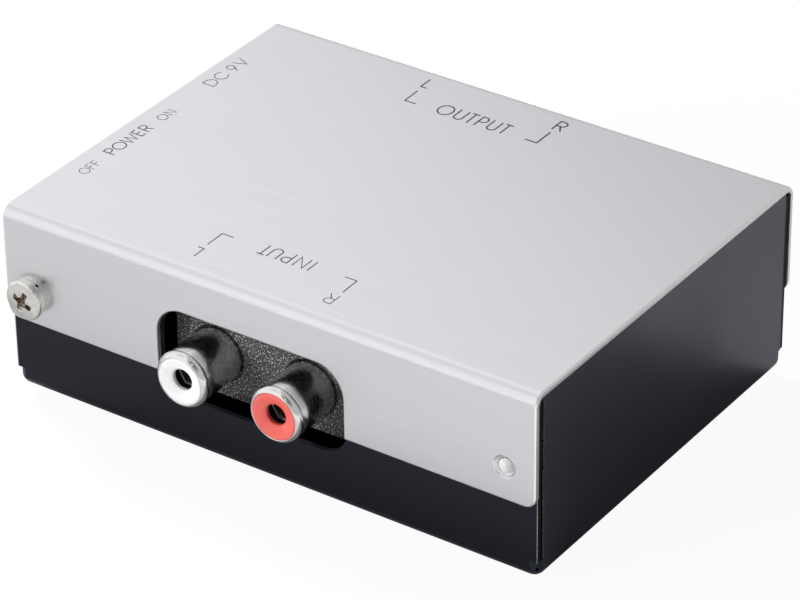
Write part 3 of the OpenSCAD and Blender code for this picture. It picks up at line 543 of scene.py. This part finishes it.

barrel_profile = np.concatenate([
    [[3.7, 0.45], [3.62, 0.3]], arc(3.73, 0.13 - RIM_REACH, 0.11, 180, 262, 6),
    arc(3.2, BULGE, 1.15, 297.5, 360, 20), arc(4.05, BULGE, 0.3, 0, 85, 7)[1:],
    [[3.9, 1.1], [3.98, 1.35], [4.06, 1.65], [4.125, 1.95], [4.17, 2.3], [4.193, 2.7], [4.2, 3.2],
     [4.2, 4.5], [4.2, 8.5], [3.98, 8.5], [3.98, 13.0], [3.7, 13.0], [3.7, 0.45]]])
insulator_profile = np.concatenate([
    [[3.69, 0.47], [3.6, 0.31]], arc(3.51, 0.14 - RIM_REACH, 0.09, 360, 270, 5),
    np.array([[3.35, 0.05], [3.1, 0.08], [2.9, 0.14], [1.98, 0.46], [1.90, 0.50], [1.75, 0.62],
              [1.65, 0.70], [1.65, 1.25], [2.4, 1.25]]) - [0, RIM_REACH],
    [[2.4, 9.5], [3.69, 9.5]]])


def deeper_than(limit, centre, facing):
    """Chooses the faces that lie deeper than limit behind a turned piece's centre."""
    return lambda c, n: (centre[1] / MM - c[:, 1]) * facing > limit


for side, facing in (("input", -1), ("output", 1)):
    for hand, plastic in (("left", white_plastic), ("right", red_plastic)):
        jack = f"{side}_{hand}_"
        low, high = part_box(jack + "shell")
        centre = ((low[0] + high[0]) / 2, low[1] if facing < 0 else high[1], (low[2] + high[2]) / 2)
        barrel = turned(jack + "barrel", barrel_profile, centre, facing, close=True)
        repaint(claim(barrel, jack + "shell", nickel), drawn_nickel, deeper_than(TUBE_FROM, centre, facing))
        ring = turned(jack + "ring", insulator_profile, centre, facing, close=True, sharp_degrees=40)
        # painted shade: the insulator's deep inside, seen through the pin hole, is made black
        repaint(claim(ring, jack + "insert", plastic), smooth_black, deeper_than(BLACK_FROM, centre, facing))
        contact = dress(jack + "contact", spring_metal, 0.04)
        repaint(contact, filed_end, lambda c, n: abs(n[:, 1]) > 0.9)
    dress(f"{side}_jack_block", moulded, 0.15, segments=3)
    dress(f"{side}_jack_terminals", tin, 0.03)

# %% [markdown]
# ## Fasteners and lamp
# The screws' heads and the washers are copies of their solids with soft edges. The lamp is a
# rounded rod of clear plastic; it is turned again so that its dome is smooth.

# %% Fasteners
HEAD_R, RECESS_R = 3.1, 1.9            # mm
RECESS_FROM, RECESS_TO = 0.25, 1.4     # mm behind the head's dome


def in_recess(low, high, facing):
    """Chooses the walls of the cross recess in the heads at both ends, along X, of a box in mm."""
    middle, reach = (low + high) / 2, (high - low) / 2
    face = low[1] if facing < 0 else high[1]

    def chosen(c, n):
        from_axis = np.hypot(abs(c[:, 0] - middle[0]) - reach[0] + HEAD_R, c[:, 2] - middle[2])
        depth = facing * (face - c[:, 1])
        return (from_axis < RECESS_R) & (depth > RECESS_FROM) & (depth < RECESS_TO)
    return chosen


for node, facing in (("cover_screws", 1), ("ground_screw", -1)):
    low, high = (np.array(corner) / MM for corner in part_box(node))
    # the cross recess gets the darker finish with painted highlights
    repaint(dress(node, screw_metal, 0.05, segments=3), dark_recess_highlights, in_recess(low, high, facing))
dress("board_screws", screw_metal, 0.05, segments=3)
for node in ("ground_lock_washer", "ground_flat_washer", "ground_nut", "board_standoffs"):
    dress(node, steel, 0.07, segments=3)
dress("ground_tag", brass, 0.03)

# %% Lamp
COLLAR_FROM_R, COLLAR_DEPTH = 1.25, 0.6    # mm; the cover's bright lip round the dome

low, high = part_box("lamp_lens")
lamp_centre = ((low[0] + high[0]) / 2, low[1], (low[2] + high[2]) / 2)
lamp_length = (high[1] - low[1]) / MM
lamp_profile = np.concatenate([
    arc(0, 1.24, 1.24, 270, 335, 14),
    [[1.2, 0.45], [1.56, 0.36], [1.56, 1.2], [1.5, 1.3], [1.5, lamp_length - 1], [1.9, lamp_length - 1],
     [1.9, lamp_length], [0, lamp_length]]])
dome = claim(turned("lamp_dome", lamp_profile, lamp_centre, -1, segments=64), "lamp_lens", milky)
repaint(dome, aluminium, lambda c, n: (c[:, 1] - lamp_centre[1] / MM < COLLAR_DEPTH) & (np.hypot(
    c[:, 0] - lamp_centre[0] / MM, c[:, 2] - lamp_centre[2] / MM) > COLLAR_FROM_R))
dress("lamp_leads", tin, 0)

# %% [markdown]
# ## Supply side, board and feet
# The rest keep their solids' shapes and get their finishes.

# %% Everything else
rest_of_it = {
    "dc_jack_body": (smooth_black, 0.12), "dc_jack_pin": (nickel, 0), "dc_jack_spring": (nickel, 0.03),
    "dc_jack_terminals": (tin, 0.03), "switch_frame": (nickel, 0.06), "switch_base": (laminate, 0.05),
    "switch_slider": (smooth_black, 0.08), "switch_terminals": (tin, 0.03),
    "circuit_board": (board_mask, 0), "amplifier_chips": (smooth_black, 0.06), "chip_leads": (tin, 0),
    "electrolytic_capacitors": (sleeve, 0.05), "capacitor_vents": (can, 0.03), "film_capacitors": (film, 0.2),
    "resistors": (lacquer, 0), "component_leads": (tin, 0), "regulator": (smooth_black, 0.08),
    "supply_diode": (smooth_black, 0.1), "rubber_feet": (rubber, 0.1)}
for node, (finish, width) in rest_of_it.items():
    dress(node, finish, width)
print("dressed", len(rest_of_it), "more nodes")

# %% [markdown]
# ## The printed words
# The words say only what each socket and switch does. They are drawn with a pen of constant width:
# each letter is a few strokes on a grid one unit high, and each stroke becomes a thin ribbon of ink.

# %% Letters as strokes
def bow(cx, cy, rx, ry, start, end, steps=18):
    """Points on an ellipse from start to end degrees."""
    a = np.radians(np.linspace(start, end, steps))
    return np.stack([cx + rx * np.cos(a), cy + ry * np.sin(a)], -1)


def line(*points):
    """Corners of a bent line."""
    return np.array(points, float)


HEAD_OF_P = np.concatenate([line((0, 0), (0, 1), (0.5, 1)), bow(0.5, 0.73, 0.5, 0.27, 90, -90),
                            line((0, 0.46))])
LETTERS = {  # strokes in a box one unit wide and one unit high
    "D": [np.concatenate([line((0.3, 1), (0, 1), (0, 0), (0.3, 0)), bow(0.3, 0.5, 0.7, 0.5, -90, 90),
                          line((0.28, 1))])],
    "C": [bow(0.55, 0.5, 0.55, 0.5, 42, 318, 30)],
    "E": [line((1, 1), (0, 1), (0, 0), (1, 0)), line((0, 0.52), (0.95, 0.52))],
    "F": [line((1, 1), (0, 1), (0, 0)), line((0, 0.52), (0.95, 0.52))],
    "I": [line((0, 0), (0, 1))],
    "L": [line((0, 1), (0, 0), (1, 0))],
    "N": [line((0, 0), (0, 1), (1, 0), (1, 1))],
    "O": [bow(0.5, 0.5, 0.5, 0.5, 90, 450, 41)],
    "P": [HEAD_OF_P],
    "R": [HEAD_OF_P, line((0.5, 0.46), (1, 0))],
    "T": [line((0, 1), (1, 1)), line((0.5, 1), (0.5, 0))],
    "U": [np.concatenate([line((0, 1)), bow(0.5, 0.27, 0.5, 0.27, 180, 360), line((1, 1))])],
    "V": [line((0, 1), (0.48, 0), (1, 1))],
    "W": [line((0, 1), (0.27, 0), (0.5, 0.95), (0.75, 0), (1, 1))],
    "9": [bow(0.5, 0.68, 0.5, 0.32, 90, 450, 33), line((0.94, 0.56), (0.3, 0))],
}
INK_ABOVE, INK_BELOW = 0.008, 0.022    # mm above and below the cover's top


def ribbon(path, width):
    """Left and right borders of a pen stroke: each point moves half a width along the mean normal of
    its two neighbouring segments, stretched at corners so that the width stays constant. Repeated
    points are left out."""
    path = path[np.append(True, np.linalg.norm(np.diff(path, axis=0), axis=1) > 1e-6)]
    step = np.diff(path, axis=0)
    step = step / np.linalg.norm(step, axis=1, keepdims=True)
    before, after = np.vstack([step[:1], step]), np.vstack([step, step[-1:]])
    if np.allclose(path[0], path[-1]):
        before[0], after[-1] = step[-1], step[0]
    mean = before + after
    mean = mean / np.maximum(np.linalg.norm(mean, axis=1, keepdims=True), 1e-9)
    normal = np.stack([-mean[:, 1], mean[:, 0]], -1)
    after_normal = np.stack([-after[:, 1], after[:, 0]], -1)
    stretch = 1 / np.maximum((normal * after_normal).sum(1, keepdims=True), 0.45)
    ends = np.zeros_like(path)
    if not np.allclose(path[0], path[-1]):
        ends[0], ends[-1] = -step[0] * width * 0.25, step[-1] * width * 0.25
    offset = normal * stretch * width / 2
    return path + ends + offset, path + ends - offset


def print_strokes(name, strokes):
    """Every stroke (its path in mm on the cover, and its width) becomes a shallow closed ridge."""
    meshes = bmesh.new()
    top = cover_high[2] / MM + INK_ABOVE
    bottom = top - INK_ABOVE - INK_BELOW
    for path, pen in strokes:
        a, b = ribbon(path, pen)
        corners = [np.column_stack([p, np.full(len(p), z)])
                   for p, z in ((a, top), (b, top), (b, bottom), (a, bottom))]
        verts = [[meshes.verts.new(p) for p in row] for row in np.stack(corners, 1) * MM]
        for row, after in zip(verts, verts[1:]):
            for j in range(4):
                k = (j + 1) % 4
                meshes.faces.new([row[j], row[k], after[k], after[j]])
        if not np.allclose(path[0], path[-1]):
            meshes.faces.new(verts[0])
            meshes.faces.new(verts[-1])
    bmesh.ops.remove_doubles(meshes, verts=meshes.verts, dist=1e-7)
    bmesh.ops.recalc_face_normals(meshes, faces=meshes.faces)
    mesh = bpy.data.meshes.new(name)
    meshes.to_mesh(mesh)
    meshes.free()
    mesh.materials.append(ink.material)
    piece = link(bpy.data.objects.new(name, mesh))
    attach(piece, body_of_node["top_cover"])


def word(along, baseline, cap, pen, *letters):
    """Strokes of a word. Each letter is (character, start, width), with the start measured along the
    direction of reading, and the baseline across it; cap is the height of the letters and pen the
    width of the strokes. A point at (x, y) of a letter's box goes to
    along*(start + x*width) + across*(baseline + y*cap)."""
    along = np.array(along, float)
    across = np.array([-along[1], along[0]])
    return [((start + width * s[:, :1]) * along + (baseline + cap * s[:, 1:]) * across, pen)
            for character, start, width in letters for s in LETTERS[character]]


# %% The words in their places
FRONT_ON, UPSIDE_DOWN, UP_THE_SIDE = (1, 0), (-1, 0), (0, 1)
print_strokes(
    "print_output",
    word(FRONT_ON, 22.54, 2.76, 0.25, ("O", -9.3, 2.4), ("U", -6.16, 1.4), ("T", -4.18, 1.17),
         ("P", -2.3, 1.2), ("U", -0.36, 1.4), ("T", 1.67, 1.15))
    + word(FRONT_ON, 27.85, 2.44, 0.25, ("L", -15.25, 1.0))
    + word(FRONT_ON, 27.77, 2.62, 0.27, ("R", 7.86, 1.39))
    + [(line((-14.88, 26.5), (-14.8, 23.05), (-12.9, 23.05)), 0.22),
       (line((8.24, 26.7), (8.26, 23.1), (6.3, 23.1)), 0.27)])
print_strokes(
    "print_input",
    word(UPSIDE_DOWN, 21.46, 2.5, 0.2, ("I", -1.23, 0), ("N", -0.27, 1.6), ("P", 2.27, 1.25),
         ("U", 4.25, 1.46), ("T", 6.2, 1.17))
    + word(UPSIDE_DOWN, 27.14, 2.34, 0.18, ("L", 14.05, 1.0))
    + word(UPSIDE_DOWN, 27.04, 2.35, 0.15, ("R", -8.95, 1.42))
    + [(line((8.66, -25.9), (8.57, -22.48), (6.62, -22.48)), 0.19),
       (line((-14.35, -25.9), (-14.38, -22.48), (-12.48, -22.48)), 0.18)])
print_strokes(
    "print_side",
    word(UP_THE_SIDE, 40.57, 1.6, 0.115, ("O", -19.97, 1.5), ("F", -18.1, 0.75), ("F", -16.95, 0.72))
    + word(UP_THE_SIDE, 40.63, 1.98, 0.19, ("P", -13.3, 1.13), ("O", -11.8, 2.1), ("W", -9.5, 2.33),
           ("E", -6.7, 0.82), ("R", -5.13, 1.13))
    + word(UP_THE_SIDE, 40.72, 1.6, 0.13, ("O", -1.37, 1.55), ("N", 0.68, 1.07))
    + word(UP_THE_SIDE, 40.87, 2.03, 0.145, ("D", 10.95, 1.73), ("C", 13.2, 2.0), ("9", 16.5, 1.2),
           ("V", 18.45, 1.75)))

# %% [markdown]
# ## Floor, lamps and sky
# The case stands on a pale floor. Metal shows mostly what surrounds it, and the floor that it mirrors
# has painted shade in front of the case, and the sky is a soft gradient. Two wide lamps give shape without
# hard shadows, and two small ones only show as highlights.

# %% Floor
FLOOR_GLOW = 0.95      # share of plain white in the floor that the camera sees

floor = from_grid("floor", np.array([[[x, y, -1e-5] for x in (-3, 3)] for y in (-3, 3)], float),
                  close_columns=False)
floor_finish = Finish("pale floor", Base_Color=(0.86, 0.86, 0.86, 1), Roughness=0.9,
                      Specular_IOR_Level=0.1)
tree = floor_finish.tree
rays = tree.nodes.new("ShaderNodeLightPath").outputs
glow = tree.nodes.new("ShaderNodeEmission")
x, y, _ = floor_finish.node("ShaderNodeSeparateXYZ", _0=floor_finish.place).outputs


def mix_shaders(fac, first, second=None):
    """A mix of two shaders, the second of which may be nothing at all, which is black."""
    mixed = tree.nodes.new("ShaderNodeMixShader")
    for socket, source in zip(mixed.inputs, (fac, first, second)):
        if source is not None:
            tree.links.new(source, socket)
    return mixed.outputs[0]


# painted shade: what metal mirrors is dimmer in front of the case, most of all close to it
ahead = floor_finish.remap(y, -0.056, -0.044, 0.78, 0.56)
beside = floor_finish.remap(y, -0.034, -0.005, 0.0, 0.7)
across = floor_finish.remap(x, -0.07, 0.05, -0.14, 0.06)
mirrored = floor_finish.calc("ADD", floor_finish.calc("ADD", ahead, beside), across, clamp=True)
missing = floor_finish.calc("MULTIPLY", floor_finish.calc("SUBTRACT", 1.0, mirrored), rays["Is Glossy Ray"])
# metal at the front right corner mirrors open floor, which is as white as the camera sees it
open_floor = floor_finish.calc("MULTIPLY", floor_finish.remap(x, 0.044, 0.052, 0.0, 1.0),
                               floor_finish.remap(y, -0.034, -0.042, 0.0, 0.9))
white = floor_finish.calc("MAXIMUM", floor_finish.calc("MULTIPLY", open_floor, rays["Is Glossy Ray"]),
                          floor_finish.calc("MULTIPLY", rays["Is Camera Ray"], FLOOR_GLOW))
dimmed = mix_shaders(missing, floor_finish.shader.outputs[0])
tree.links.new(mix_shaders(white, dimmed, glow.outputs[0]), tree.nodes["Material Output"].inputs["Surface"])
floor.data.materials.append(floor_finish.material)
floor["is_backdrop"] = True

# %% Lamps
AIM = Vector((0, 0, 0.01))


def lamp(name, place, size, watts, highlight=False):
    """A square area lamp at place, turned to face the case. Metal doesn't mirror an ordinary lamp,
    and a highlight lamp is seen only where metal mirrors it."""
    light = bpy.data.lights.new(name, "AREA")
    light.shape, light.size, light.energy = "SQUARE", size, watts
    obj = link(bpy.data.objects.new(name, light))
    obj.location = place
    obj.rotation_mode = "QUATERNION"
    obj.rotation_quaternion = (AIM - Vector(place)).to_track_quat("-Z", "Y")
    obj.visible_glossy, obj.visible_diffuse = highlight, not highlight


lamp("key lamp", (-0.73, 0.19, 0.64), 0.18, 11.5)
lamp("fill lamp", (-0.45, -0.72, 0.31), 0.3, 5.9)
lamp("sparkle lamp", (-0.08, -1.0, 0.24), 0.15, 0.15, highlight=True)
lamp("window lamp", (0.21, -0.72, 0.70), 0.05, 0.08, highlight=True)

# %% [markdown]
# The sky has two jobs. For matt surfaces it is a dim, even fill. For polished ones it is a pale wall
# whose strength grows with height and towards the left, so the metal gets soft gradients. Two dim
# places in it are mirrored by the cover's bend and by the rounded metal that faces the viewer.

# %% Sky
AMBIENT = 0.15                        # what the sky gives to matt surfaces
WALL_LOW, WALL_HIGH = 0.55, 1.03      # darkest and brightest part of the wall that metal mirrors
WALL_BASE, WALL_EAST, WALL_NORTH, WALL_UP = -1.96, -6.3, -1.5, 1.93   # its gradient
DARK_SPOT = (0.38, -0.58, 0.72)       # the unlit part of the studio, behind the viewer
DARK_EDGE, DARK_CORE, DARK_SHARE = 0.90, 0.97, 0.35    # cosines of its radii, and what is left of the wall
BEND_SHADE = (-0.49, -0.20, 0.85)     # a dim place that the cover's front bend mirrors
BEND_EDGE, BEND_CORE, BEND_LOSS = 0.92, 0.985, -0.22
world = bpy.data.worlds.new("studio")
bpy.context.scene.world = world
world.use_nodes = True
sky = world.node_tree
background = sky.nodes["Background"]
background.inputs["Color"].default_value = (1, 1, 1, 1)


def sky_node(kind, *values, **settings):
    """A node in the sky; each value is a socket to link or a number to set."""
    made = sky.nodes.new(kind)
    for key, value in settings.items():
        setattr(made, key, value)
    for k, value in enumerate(values):
        if isinstance(value, bpy.types.NodeSocket):
            sky.links.new(value, made.inputs[k])
        elif value is not None:
            made.inputs[k].default_value = value
    return made.outputs


direction = sky_node("ShaderNodeTexCoord")["Generated"]
east, north, height = sky_node("ShaderNodeSeparateXYZ", direction)
leaning = sky_node("ShaderNodeMath", east, WALL_EAST, WALL_BASE, operation="MULTIPLY_ADD")[0]
turning = sky_node("ShaderNodeMath", north, WALL_NORTH, leaning, operation="MULTIPLY_ADD")[0]
rising = sky_node("ShaderNodeMath", height, WALL_UP, turning, operation="MULTIPLY_ADD")[0]
pale = sky_node("ShaderNodeClamp", rising, WALL_LOW, WALL_HIGH)[0]


def round_spot(middle, edge, core, outside, inside):
    """The number outside, turning smoothly to inside between two circles round a direction, whose
    radii are given as cosines."""
    towards = sky_node("ShaderNodeVectorMath", direction, middle, operation="DOT_PRODUCT")["Value"]
    return sky_node("ShaderNodeMapRange", towards, edge, core, outside, inside,
                    interpolation_type="SMOOTHSTEP")[0]


spot = round_spot(DARK_SPOT, DARK_EDGE, DARK_CORE, 1.0, DARK_SHARE)
bend_shade = round_spot(BEND_SHADE, BEND_EDGE, BEND_CORE, 0.0, BEND_LOSS)
wall = sky_node("ShaderNodeMath", pale, spot, bend_shade, operation="MULTIPLY_ADD")[0]
ray = sky_node("ShaderNodeLightPath")
polished = sky_node("ShaderNodeMath", ray["Is Glossy Ray"], ray["Is Transmission Ray"],
                    operation="MAXIMUM")[0]
matt_or_mirror = sky_node("ShaderNodeMix", polished, None, AMBIENT, wall)[0]
strength = sky_node("ShaderNodeMix", ray["Is Camera Ray"], None, matt_or_mirror, 1.0)[0]
sky.links.new(strength, background.inputs["Strength"])
bpy.context.scene.view_settings.view_transform = "Standard"

# %% [markdown]
# ## Check the size
# The dressed object must keep the size of its solids, so how far its box grew past theirs is printed.

# %% Sizes
dressed_low, dressed_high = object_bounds()
growth = np.array([*dressed_low, *dressed_high]) - np.array([*cad_low, *cad_high])
print("grew by mm:", (growth / MM).round(3).tolist())
